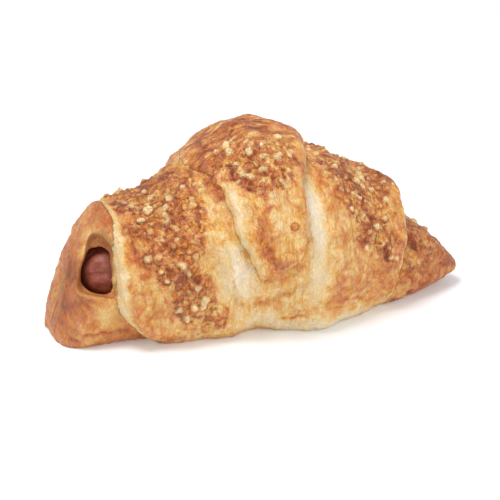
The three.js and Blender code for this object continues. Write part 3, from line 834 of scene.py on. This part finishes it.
MARKS = [  # creases darkened with painted shade, and browned curls and streaks: the places they run through, width, browning (with the painted shade in the creases) and how far they rise
    (((-15.8, -15, 56.5), (-14.7, -18.6, 54), (-13.8, -21.7, 51.2)), 1.5, 0.34, -0.6),
    (((-8.7, -16.1, 61.3), (-9.4, -20.5, 58.4), (-8.4, -26, 56.8), (-6.7, -29.9, 55.9)), 0.7, 0.38, -0.6),
    (((-12, 9.4, 61.3), (-12.6, -0.8, 62.8), (-11.4, -6.2, 63.3), (-9.2, -10, 62.8)), 1.3, 0.26, -0.4),
    (((-6.7, -29.9, 55.9), (-4.6, -26.5, 58.5), (-3.8, -22, 61.2)), 0.6, 0.2, -0.3),
    (((-1.4, -25, 61.8), (1, -29, 60.2), (2, -32.2, 57.5), (4.4, -32.8, 57), (6, -30.4, 60), (7.2, -26, 62.5)),
     0.7, 0.34, -0.6),
    (((-4.2, -36.4, 49.6), (-1.6, -36, 51.1), (1.3, -36.3, 51.4)), 0.9, 0.28, 0.5),
    (((-3, -37.2, 46.5), (-3.6, -38.5, 42), (-3, -40.5, 36), (-1.2, -41.2, 31)), 1.7, 0.2, -0.3),
    (((-1.5, -40.5, 29.5), (1.5, -41.5, 31), (4.5, -42, 32)), 0.8, 0.3, 0.4),
    (((0, -39.8, 27.4), (2.4, -41.1, 28.4), (5, -41, 29.5)), 0.6, 0.26, -0.5),
    (((-6.5, -33.5, 52.2), (-6.2, -37, 45.9), (-5, -39.5, 37.2), (-1.7, -38.6, 27.4)), 0.6, 0.2, -0.4),
    (((-12.9, -26.6, 47.7), (-12.8, -34.6, 40.1), (-7.8, -36.2, 30.3), (-4.8, -35.8, 23.7)), 1.1, 0.16, -0.5),
    (((-17.8, -33, 40.4), (-16.6, -35.4, 33.3), (-15.3, -35.9, 23.4), (-11.3, -36.6, 18.6)), 0.8, 0.12, -0.4),
    (((-15.8, -35.8, 24.9), (-11.3, -36, 17), (-5.4, -33.5, 13.5), (-0.9, -34.1, 15.1), (5.9, -36.3, 17.1),
      (9.1, -37.2, 20.7)), 0.6, 0.14, -0.3),
    (((30.5, -30.1, 45.8), (30.7, -32.7, 42.3)), 1.3, 0.3, 0.5),
    (((34.1, -35, 34.1), (34.8, -34.3, 28.5)), 1.2, 0.26, 0.5),
    (((45.6, -32, 26.1), (46.2, -32.1, 22.5)), 1.2, 0.3, -0.4),
    (((39.3, -23.9, 45.1), (38.5, -27.9, 41.7), (40.3, -29.7, 37.6)), 0.8, 0.22, -0.5),
    (((27.7, -12.2, 56.3), (26.4, -19.3, 56.2), (28.2, -18.8, 54.3)), 0.9, 0.26, -0.4),
    (((-35.4, -32.7, 19.5), (-34.2, -33.2, 15.3), (-29.6, -31.2, 10.1)), 0.8, 0.3, -0.5),
    (((-34.8, -30.6, 33.8), (-32.9, -33.2, 31.2), (-29.4, -31.8, 27.9), (-25.8, -31.8, 26.1)), 0.6, 0.26, -0.5),
    (((-46.8, -22.3, 39.2), (-47.1, -25.1, 35.5), (-45.7, -27.4, 32.8), (-43.9, -28.7, 32.2)), 0.8, 0.22, -0.5),
    (((-22.4, -32.3, 26.1), (-20.8, -32.8, 22.5)), 1.6, 0.2, -0.2),
    (((-46.8, 0.4, 46.1), (-47.4, -7.4, 45.8), (-45, -9.2, 45.5), (-40.8, -4.4, 45.6)), 0.8, 0.26, -0.5),
    (((-36.4, 4.7, 47.5), (-31.3, 4, 49.3), (-26.6, 1, 52.2), (-23.5, 2.2, 53.9)), 1.2, 0.24, -0.3),
    (((3.6, -33.9, 6.3), (7.4, -35.3, 7.1), (11.9, -37.6, 8.1)), 0.8, 0.36, -0.6),
    (((16.3, -40.2, 13.5), (25, -38.3, 12.3), (37.1, -33.6, 9.3)), 0.9, 0.2, -0.4),
    (((-68.6, -16.6, 3.9), (-62.9, -19.8, 5.7), (-55.8, -21.1, 6.5), (-49.6, -21.6, 6.5)), 0.9, 0.3, -0.7),
    (((-70, -8, 12), (-67.5, -14, 16), (-63, -18, 19.5)), 2.6, 0.14, -0.3),
    (((60.6, -21.2, 24.3), (61.9, -22.9, 22.6), (61, -24.2, 20.6), (58.8, -24.3, 21.4)), 1, 0.36, -0.8),
    (((52.9, -29.1, 15.3), (58.4, -27.6, 10.5), (64.8, -24.2, 5.2)), 0.9, 0.2, -0.5),
    (((55, -28.1, 18.1), (61.8, -26.6, 12.9), (67.8, -24.2, 8.7)), 0.9, 0.2, -0.5),
]
RING = (6, -40.5, 44.7)  # a blister on the tongue that browned round its rim
RING_RADIUS = 1.3
RING_WIDTH = 0.55
RING_RISE = 0.5
RING_SPREAD = 0.6  # how wide it rises
BAKED_ALL = 0.43  # 0 is raw and 1 is dark brown
BAKED_ABOVE = 0.05  # more where the surface looks up
BAKED_FIRST = 0.12  # more on the first turn
BAKED_LIP = -0.24
BAKED_FOOT = 0.12  # more where it stood on the tray
FOOT = (1.5, 0)  # heights over which that sets in


def nearness(points, width):
    """1 along a line through a few places, falling to 0 about two widths off it."""
    wavering = place + 0.4 * np.sin(1.1 * place[:, [1, 2, 0]]) + 0.25 * np.sin(2.3 * place[:, [2, 0, 1]])
    nearest = np.full(len(place), float(FAR))
    for start, end in zip(np.array(points[:-1]), np.array(points[1:])):
        share = np.clip((wavering - start) @ (end - start) / np.sum((end - start) ** 2), 0, 1)
        nearest = np.minimum(nearest, np.linalg.norm(wavering - start - share[:, None] * (end - start), axis=1))
    return bell(nearest, width)


bake = BAKED_ALL + BAKED_ABOVE * np.clip(facing[:, 2], -0.5, 1) + BAKED_FIRST * on_first
for at, turned, reach, spread, change in BAKED:
    bake = bake + change * bell(x - at, reach) * bell(winding - turned, spread) * ~on_first
for *spot, reach, change in BAKED_SPOTS:
    bake = bake + change * bell(np.linalg.norm(place - spot, axis=1), reach) * on_first
bake = bake + BAKED_LIP * lip + BAKED_FOOT * smoothstep(place[:, 2], *FOOT)
# Each mark browns the dough along its line; along the creases that it carves, the darkening is painted shade as well.
marks_and_crease_shade = np.zeros(len(place))
carved = np.zeros(len(place))
for points, width, browning, rise in MARKS:
    near = nearness(points, width)
    marks_and_crease_shade = np.maximum(marks_and_crease_shade, browning * near)
    carved = carved + rise * near
carved = carved + RING_RISE * bell(np.linalg.norm(place - RING, axis=1) - RING_RADIUS, RING_SPREAD)

# A little cheese ran onto the tail, down to about a third of its height. Elsewhere it lies in its patches.
FAR_FROM_CHEESE = 12
CHEESE_INSET = (2, 1)  # from the left and the right edge
TAIL_FROM = 50  # in x
TAIL_CHEESE_HEIGHT = 16
TAIL_CHEESE_FALL = 0.25  # how fast its cover fades below that
on_tail = np.where(x > TAIL_FROM, TAIL_CHEESE_FALL * (place[:, 2] - TAIL_CHEESE_HEIGHT), -FAR_FROM_CHEESE)
off_edges = np.minimum(from_left - CHEESE_INSET[0], from_right - CHEESE_INSET[1])
cheese = np.where(on_first, on_tail, np.minimum(cheese_depth(x, winding), off_edges))

nearest_seat = KDTree(len(nugget_seats))
for i, seat in enumerate(nugget_seats):
    nearest_seat.insert(seat, i)
nearest_seat.balance()
_, seat_number, seat_distance = zip(*[nearest_seat.find(spot) for spot in place])
seat_number, seat_distance = np.array(seat_number), np.array(seat_distance)
seat_radius = nugget_radii[seat_number]

# How far a place belongs to the nearest nugget or to its browned foot, and which tone that nugget has.
BESIDE_NUGGET = (1.9, 1.2)  # distances from its middle, in radii
NUGGET_SHOWS = (0.15, 0.7)  # heights over the dough, in radii
PALE_FROM = 1.35  # nuggets of this radius and more are the palest
TONES = (0.2, 1)  # of the others
beside_nugget = smoothstep(seat_distance / seat_radius, *BESIDE_NUGGET)
proud = radius - baked_radius(x, winding)
proud = np.where(on_first, seat_radius - np.abs(seat_distance - seat_radius), proud)
nugget = beside_nugget * smoothstep(proud / seat_radius, *NUGGET_SHOWS)
nugget_tone = np.where(seat_radius > PALE_FROM, 0, draw.uniform(*TONES, len(nugget_seats))[seat_number])

# On the crown the cheese has run into strands, and low on the right the skin is creased along the roll.
STRANDS = ((300, 340), (388, 372))
BARK_ALONG = (10, 22)
BARK_ROUND = (80, 95)
strands = on_upper * math.prod(smoothstep(winding, *span) for span in STRANDS)
bark = ~on_first * ~on_upper * smoothstep(x, *BARK_ALONG) * smoothstep(winding, *BARK_ROUND)

for name, values in {
    "rest_place": place, "sheet_place": sheet_place, "bake": bake, "marks_and_crease_shade": marks_and_crease_shade, "carved": carved,
    "cheese": np.clip(cheese, -FAR_FROM_CHEESE, FAR_FROM_CHEESE), "nugget": nugget, "nugget_tone": nugget_tone,
    "foot": beside_nugget * (1 - nugget), "strands": strands, "bark": np.maximum(bark, strands),
    # deep is painted shade: how far the crumb wall in the window is darkened as it goes in.
    "in_window": in_window, "deep": in_window * smoothstep(window_depth, *WALL_SHADE_DEPTHS),
    "calm": on_first * (x < 0) * 1.0,
}.items():
    store(dough.data, name, values)


def cheese_cover(tree, place):
    """1 where melted cheese covers the dough. Its borders wander by a few millimetres."""
    straying = swing(tree, place, 6, 22, read(tree, "cheese"), detail=3, rough=0.6, seed=6)
    return eased(tree, straying, -2, 2.5)


def skin_grain(tree):
    """Fine folds of the baked skin, round the roll or, where the bark attribute says so, along it."""
    sheet = warped(tree, read(tree, "sheet_place", vector=True), 1.6, 7)
    round_it = mottle(tree, stretched(tree, sheet, 1.5, 8, 4), 1, detail=3, rough=0.6, seed=3)
    along_it = mottle(tree, stretched(tree, sheet, 9, 1.7, 4), 1, detail=3, rough=0.6, seed=4)
    return scaled(tree, calc(tree, "SUBTRACT", along_it, round_it), read(tree, "bark"), round_it)


def crinkles(tree, across, along, seed):
    """A thin skin's crinkles: how far a place is up one, from 0 to 1, and a tone for each patch between them."""
    sheet = warped(tree, read(tree, "sheet_place", vector=True), 2.2, 6)
    spot = stretched(tree, sheet, across, along, 5)
    edge = node(tree, "ShaderNodeTexVoronoi", {"Vector": spot, "W": seed}, feature="DISTANCE_TO_EDGE",
                voronoi_dimensions="4D").outputs["Distance"]
    cell = node(tree, "ShaderNodeTexVoronoi", {"Vector": spot, "W": seed}, voronoi_dimensions="4D").outputs["Color"]
    return eased(tree, edge, 0.13, 0), node(tree, "ShaderNodeSeparateXYZ", {0: cell}).outputs[0]


CURL_WIDTH = 0.09  # as a share of the noise's whole swing


def curls(tree, place, size, seed):
    """Thin lines that curl round each other, as melted shreds of cheese do."""
    level = mottle(tree, warped(tree, place, 1.2, 3), size, detail=2, seed=seed)
    return eased(tree, calc(tree, "ABSOLUTE", centred(tree, level)), CURL_WIDTH, 0)


WALL_SMOOTHNESS = 0.85  # how much lower all relief is inside the window


def surface_tree():
    """Raises the cheese crust, wrinkles the skin and cuts the creases."""
    takes = {"Geometry": "Geometry", "Crumb height": "Float", "Wrinkle height": "Float", "Dent depth": "Float"}
    tree, given = new_group("baked surface", "GeometryNodeTree", takes, {"Geometry": "Geometry"})
    place = read(tree, "rest_place", vector=True)
    crumbs = scaled(tree, swing(tree, place, 2.6, given["Crumb height"]), cheese_cover(tree, place))
    crust = scaled(tree, crumbs, calc(tree, "SUBTRACT", 1, read(tree, "strands")))
    wrinkles = scaled(tree, centred(tree, skin_grain(tree)), given["Wrinkle height"])
    dents = swing(tree, place, 5, given["Dent depth"], detail=3, seed=5)
    height = total(tree, read(tree, "carved"), crust, wrinkles, dents)
    height = scaled(tree, height, scaled(tree, read(tree, "in_window"), -WALL_SMOOTHNESS, 1))
    normal = node(tree, "GeometryNodeInputNormal").outputs[0]
    inputs = {0: normal, "Scale": scaled(tree, height, MM)}
    offset = node(tree, "ShaderNodeVectorMath", inputs, operation="SCALE").outputs[0]
    moved = node(tree, "GeometryNodeSetPosition", {"Geometry": given["Geometry"], "Offset": offset})
    node(tree, "NodeGroupOutput", {0: moved.outputs[0]})
    return tree


dress(dough, surface_tree(), Crumb_height=1.9, Wrinkle_height=1.2, Dent_depth=1.9)
spots = np.clip(read_vectors(dough.data, "co"), *map(np.array, cad_box))
dough.data.vertices.foreach_set("co", spots.astype(np.float32).ravel())
combine(dough, "DIFFERENCE", solid("bore", sausage_rings(CLEARANCE, 44, 46)))

BAKING = [  # the colours that dough and cheese pass through as they brown
    (0, "#f6e6cc"), (0.16, "#f2d9ae"), (0.32, "#edc27c"), (0.46, "#e2a35a"), (0.6, "#d28347"), (0.76, "#b8673a"),
    (1, "#8c472a"),
]


def browning_group():
    """A shader group: the colour of something baked so far. It yellows in some places and reddens in others."""
    takes = {"Place": "Vector", "Bake": "Float", "Hue change": "Float", "Strength change": "Float"}
    tree, given = new_group("browning", "ShaderNodeTree", takes, {"Color": "Color", "Roughness": "Float"})
    place = given["Place"]
    hue = swing(tree, place, 4, given["Hue change"], 0.5, seed=21)
    strength = swing(tree, place, 3, given["Strength change"], 1, seed=22)
    inputs = {"Color": ramp(tree, given["Bake"], *BAKING), "Hue": hue, "Saturation": strength}
    tinted = node(tree, "ShaderNodeHueSaturation", inputs).outputs[0]
    rough = swing(tree, place, 2, 0.5, 0.42, seed=23)
    node(tree, "NodeGroupOutput", {"Color": tinted, "Roughness": rough})
    return tree


browning = browning_group()
CHEESE_BAKED = 0.585  # how browned the melted cheese is between its shreds
CHEESE_TONES = ((0, "#fbdca2"), (0.3, "#f2c17c"), (0.75, "#d68d4c"))  # of the nuggets
CRUMB_WALL_AND_SHADE = ("#d09a55", "#c07c48")  # inside the window: crumb at its rim, and crumb darkened by painted shade further in


def dough_material():
    material, tree, shader = new_material("baked croissant dough")
    place = read(tree, "rest_place", vector=True)
    swirled = warped(tree, place, 3, 9)
    bake, strands = read(tree, "bake"), read(tree, "strands")

    # The pattern of the browning, weaker where the dough is pale and on the plain end of the first turn.
    patches = swing(tree, swirled, 3.5, 0.36, seed=7)
    ridges, tone = crinkles(tree, 3, 7, 1)
    grain = skin_grain(tree)
    stains = eased(tree, mottle(tree, swirled, 6, detail=3, rough=0.6, seed=8), 0.44, 0.56)
    pattern = total(
        tree, scaled(tree, centred(tree, grain), scaled(tree, strands, 1, 0.5)),
        swing(tree, swirled, 10, 0.5, detail=3, rough=0.55), patches,
        scaled(tree, centred(tree, tone), 0.1, scaled(tree, ridges, 0.035)),
        scaled(tree, centred(tree, stains), 0.13), scaled(tree, curls(tree, place, 4.2, 11), 0.11))
    lively = scaled(tree, eased(tree, bake, 0.1, 0.42), 0.7, 0.3)
    plain = scaled(tree, pattern, scaled(tree, lively, scaled(tree, read(tree, "calm"), -0.35, 1)), bake)

    # Melted cheese, with pale shreds and dark gaps between them.
    pale, dark = curls(tree, place, 3.2, 12), curls(tree, place, 3.8, 13)
    shreds = calc(tree, "SUBTRACT", pale, scaled(tree, dark, 1.3))
    crust = scaled(tree, pattern, 1.1, scaled(tree, shreds, 0.17, CHEESE_BAKED))
    cover = scaled(tree, cheese_cover(tree, place), scaled(tree, strands, -0.6, 1))
    bake = scaled(tree, calc(tree, "SUBTRACT", crust, plain), cover, plain)

    # Browned feet of the nuggets, the marks (browning, and painted shade along their creases), and the ring.
    bake = calc(tree, "ADD", scaled(tree, read(tree, "foot"), 0.12, bake), read(tree, "marks_and_crease_shade"))
    ring_distance = node(tree, "ShaderNodeVectorMath", {0: place, 1: RING}, operation="DISTANCE").outputs["Value"]
    off_ring = calc(tree, "ABSOLUTE", calc(tree, "SUBTRACT", ring_distance, RING_RADIUS))
    bake = scaled(tree, eased(tree, off_ring, RING_WIDTH, 0), 0.3, bake)
    inputs = {"Place": place, "Bake": bake, "Hue change": 0.035, "Strength change": 0.3}
    baked = node(tree, "ShaderNodeGroup", inputs, node_tree=browning).outputs

    specks = swing(tree, place, 1.3, 0.9, patches, seed=9)
    nugget = ramp(tree, scaled(tree, read(tree, "nugget_tone"), 0.6, specks), *CHEESE_TONES)
    surface = mixed(tree, read(tree, "nugget"), baked["Color"], nugget)
    # Painted shade: the crumb wall darkens further into the window.
    shaded_crumb_wall = mixed(tree, read(tree, "deep"), *map(colour, CRUMB_WALL_AND_SHADE))
    tree.links.new(mixed(tree, read(tree, "in_window"), surface, shaded_crumb_wall), shader.inputs["Base Color"])
    tree.links.new(baked["Roughness"], shader.inputs["Roughness"])
    shader.inputs["Specular IOR Level"].default_value = 0.4

    lines = scaled(tree, calc(tree, "SUBTRACT", pale, dark), scaled(tree, cover, 0.75, 0.25))
    relief = scaled(tree, lines, 0.8, scaled(tree, ridges, 0.25, scaled(tree, grain, 1.4)))
    relief = calc(tree, "ADD", relief, mottle(tree, place, 2.2, detail=1, seed=14))
    bump = node(tree, "ShaderNodeBump", {"Height": relief, "Strength": 0.85, "Distance": 0.8 * MM})
    tree.links.new(bump.outputs[0], shader.inputs["Normal"])
    return material


dough.data.materials.clear()
dough.data.materials.append(dough_material())
dough.data.shade_smooth()
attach(dough, "root")
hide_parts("dough")

# ---- Floor, light and camera ----------------------------------------------------------------------------------
# A white floor under soft daylight from the upper left, and a camera at the height of someone sitting before it.
FLOOR_HALF = 3
floor_mesh = bpy.data.meshes.new("floor")
floor_corners = [(sx * FLOOR_HALF, sy * FLOOR_HALF, 0) for sx, sy in ((-1, -1), (1, -1), (1, 1), (-1, 1))]
floor_mesh.from_pydata(floor_corners, [], [(0, 1, 2, 3)])
floor = put("floor", floor_mesh)
floor_material, _, shader = new_material("white floor")
shader.inputs["Base Color"].default_value = (0.9, 0.935, 0.97, 1)
shader.inputs["Emission Color"].default_value = (1, 0.97, 0.94, 1)
shader.inputs["Emission Strength"].default_value = 0.12
shader.inputs["Roughness"].default_value = 0.9
floor_mesh.materials.append(floor_material)

AIM = Vector(ROLL_PLACE + (0, -14, 26)) * MM
AZIMUTH = math.radians(-22)
ELEVATION = math.radians(24)
DISTANCE = 0.7
LENS = 140
back = Vector((math.sin(AZIMUTH) * math.cos(ELEVATION), -math.cos(AZIMUTH) * math.cos(ELEVATION), math.sin(ELEVATION)))
camera_data = bpy.data.cameras.new("camera")
camera_data.lens = LENS
camera = put("camera", camera_data)
camera.location = AIM + back * DISTANCE
camera.rotation_euler = back.to_track_quat("Z", "Y").to_euler()
bpy.context.scene.camera = camera


def softbox(name, place, size, watts):
    data = bpy.data.lights.new(name, "AREA")
    data.size = size
    data.energy = watts
    light = put(name, data)
    light.location = place
    light.rotation_euler = Vector(place).to_track_quat("Z", "Y").to_euler()


softbox("key light", (-0.3, -0.05, 0.95), 0.42, 6.6)
softbox("fill light", (0.4, -0.85, 0.4), 0.9, 3.4)

world = bpy.data.worlds.new("studio")
bpy.context.scene.world = world
world.use_nodes = True
sky = world.node_tree.nodes["Background"].inputs
sky["Color"].default_value = (1, 1, 1, 1)
sky["Strength"].default_value = 0.54
bpy.context.scene.view_settings.view_transform = "Standard"
